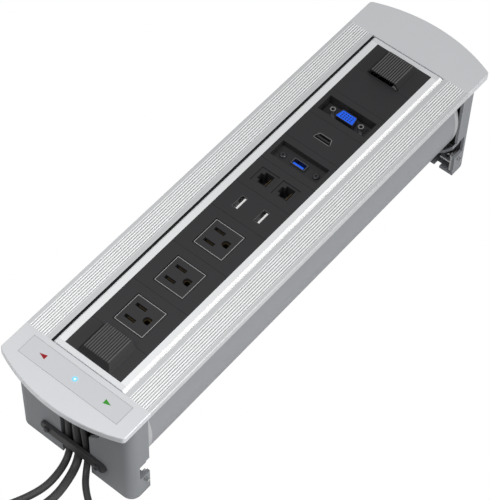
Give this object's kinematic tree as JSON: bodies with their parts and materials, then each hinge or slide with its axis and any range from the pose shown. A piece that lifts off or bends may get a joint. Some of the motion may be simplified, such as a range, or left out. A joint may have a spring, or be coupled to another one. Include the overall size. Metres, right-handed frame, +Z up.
{
  "type": "pop up desk socket",
  "caption": "Flush desk frame with a motor-driven drum that turns half round to bring power, charging, data and display sockets up; three leads leave one end.",
  "frame": {"origin": "centre of the frame's length and width, on the level of the two brackets' undersides", "axes": "+X along the socket away from the touch strip, +Z up out of the desk, +Y to the left side"},
  "size_m": [0.6834, 0.1682, 0.116],
  "materials": {
    "aluminium_rail": "satin anodised",
    "cast_cap": "satin",
    "painted_cover": "fine silver paint",
    "painted_bracket": "matt grey moulding",
    "black_bracket": "matt",
    "bush_plastic": "smooth",
    "touch_film": "satin film",
    "status_light": "clear light guide",
    "circuit_board": "lacquered",
    "steel": "plated",
    "dark_steel": "blackened",
    "gear_plastic": "smooth",
    "panel_black": "fine texture",
    "brass_contact": "plain",
    "white_plastic": "smooth",
    "bright_blue": "smooth",
    "cord_black": "matt"
  },
  "bodies": {
    "frame": {"near_end_plate": "painted_cover", "far_end_plate": "painted_cover", "left_rail": "aluminium_rail", "right_rail": "aluminium_rail", "near_bracket": "painted_bracket", "far_bracket": "painted_bracket", "near_bearing_plate": "black_bracket", "far_bearing_plate": "black_bracket", "bearing_bushes": "bush_plastic", "touch_inlay": "touch_film", "status_light_ring": "status_light", "touch_board": "circuit_board", "cable_clamp_bar": "black_bracket", "clamp_bar_screws": "steel", "fixed_gear": "gear_plastic", "frame_screws": "steel", "desk_clamps": "steel", "desk_clamp_screws": "steel", "limit_switches": "panel_black", "mains_lead": "cord_black", "mains_coil": "cord_black", "mains_plug": "cord_black", "mains_plug_blades": "steel", "hdmi_lead": "cord_black", "hdmi_coil": "cord_black", "hdmi_plug": "cord_black", "hdmi_plug_shell": "steel", "network_lead": "cord_black", "network_coil": "cord_black", "network_plug": "cord_black"},
    "drum": {"drum_shell": "aluminium_rail", "near_end_cap": "cast_cap", "far_end_cap": "cast_cap", "end_cap_screws": "steel", "trunnions": "steel", "gear_motor": "steel", "near_hood_plate": "panel_black", "outlet_plates": "panel_black", "usb_charger_plate": "panel_black", "network_plate": "panel_black", "usb3_plate": "panel_black", "hdmi_plate": "panel_black", "vga_plate": "panel_black", "blank_plate": "panel_black", "far_hood_plate": "panel_black", "outlet_inserts": "panel_black", "outlet_contacts": "brass_contact", "usb_charger_shells": "steel", "usb_charger_tongues": "white_plastic", "usb_charger_board": "circuit_board", "network_jacks": "panel_black", "usb3_shell": "steel", "usb3_tongue": "bright_blue", "usb3_screws": "dark_steel", "hdmi_shell": "steel", "hdmi_tongue": "panel_black", "vga_shell": "dark_steel", "vga_insert": "bright_blue", "vga_posts": "steel"},
    "pinion": {"motor_pinion": "steel"}
  },
  "joints": [
    {"name": "drum_turn", "type": "hinge", "parent": "frame", "child": "drum", "pos_m": [0, 0, 0.0655], "axis": [1, 0, 0], "range_deg": [0, 180]},
    {"name": "pinion_turn", "type": "hinge", "parent": "drum", "child": "pinion", "pos_m": [0.199, 0, 0.0415], "axis": [1, 0, 0], "range_deg": [0, 540]}
  ],
  "couplings": [
    {"joint": "pinion_turn", "follows": "drum_turn", "ratio": 3}
  ]
}
